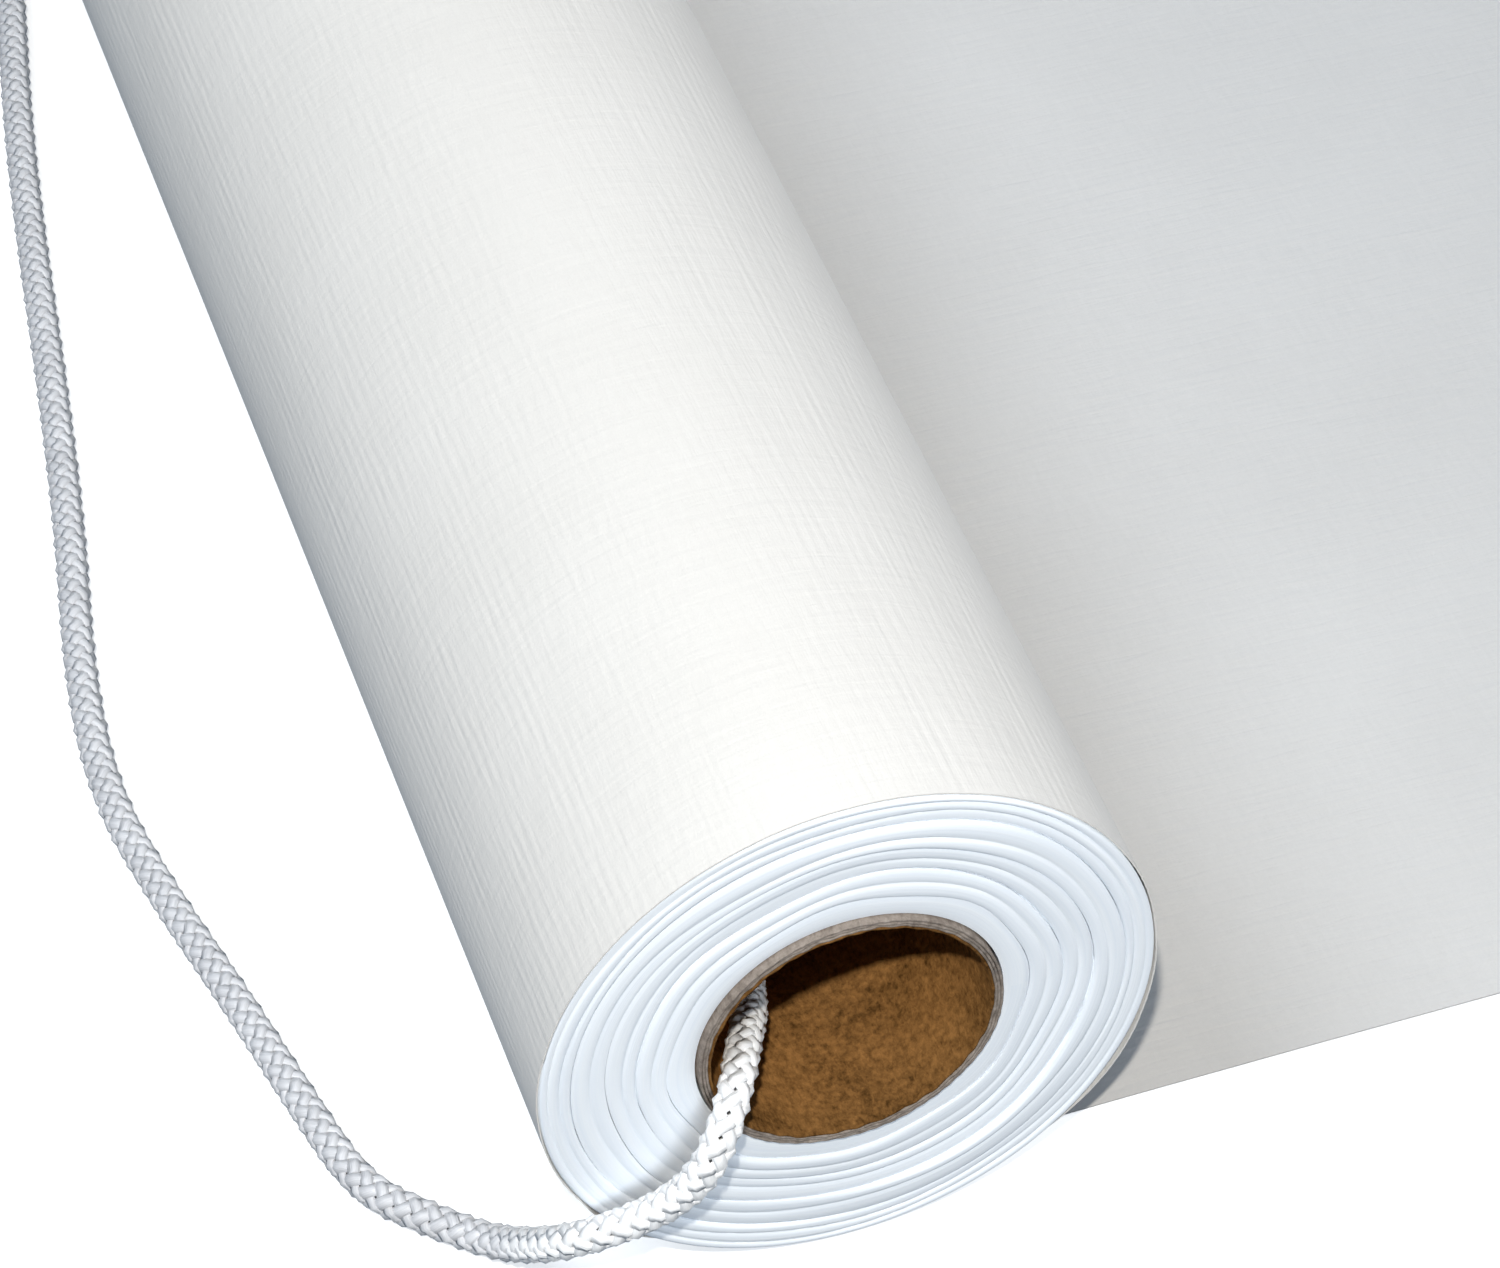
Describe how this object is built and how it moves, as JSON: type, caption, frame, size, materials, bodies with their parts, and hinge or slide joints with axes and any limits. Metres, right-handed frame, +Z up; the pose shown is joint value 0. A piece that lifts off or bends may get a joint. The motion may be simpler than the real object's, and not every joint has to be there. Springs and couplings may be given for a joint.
{
  "type": "pull-cord sheet roll",
  "caption": "Long ribbed white sheet wound on a kraft paper core, part laid out flat, with a braided pull cord looped through the core.",
  "frame": {"origin": "on the floor, at the underside of the laid sheet, straight below the middle of the core's axis", "axes": "+Y along the core, +Z up, +X along the laid sheet towards its leading edge; the roll pays out towards -X"},
  "size_m": [0.4969, 0.936, 0.0844],
  "materials": {
    "ribbed_sheet": "matte",
    "kraft_core": "matte",
    "masking_tape": "matte",
    "double_sided_tape": "satin",
    "release_liner": "satin",
    "braided_cord": "satin"
  },
  "bodies": {
    "laid_run": {"laid_sheet": "ribbed_sheet", "leading_edge_tape": "double_sided_tape", "tape_release_liner": "release_liner"},
    "cord_loop": {"pull_cord": "braided_cord", "pull_cord_knot": "braided_cord", "cord_tail_near": "braided_cord", "cord_tail_far": "braided_cord"},
    "roll": {"core_liner_ply": "kraft_core", "core_body_ply_inner": "kraft_core", "core_body_ply_outer": "kraft_core", "core_outer_ply": "kraft_core", "start_tape_near": "masking_tape", "start_tape_middle": "masking_tape", "start_tape_far": "masking_tape", "wound_turns_1": "ribbed_sheet", "wound_turns_2": "ribbed_sheet", "wound_turns_3": "ribbed_sheet", "wound_turns_4": "ribbed_sheet", "wound_turns_5": "ribbed_sheet", "outer_wrap": "ribbed_sheet"}
  },
  "joints": [
    {"name": "roll_travel", "type": "slide", "parent": "laid_run", "child": "cord_loop", "axis": [-1, 0, 0], "range_m": [-0.1978, 0.3298]},
    {"name": "roll_spin", "type": "hinge", "parent": "cord_loop", "child": "roll", "pos_m": [0, 0, 0.04244], "axis": [0, -1, 0], "range_deg": [-270.5, 450.5]}
  ],
  "couplings": [
    {"joint": "roll_spin", "follows": "roll_travel", "rad_per_m": 23.809}
  ]
}
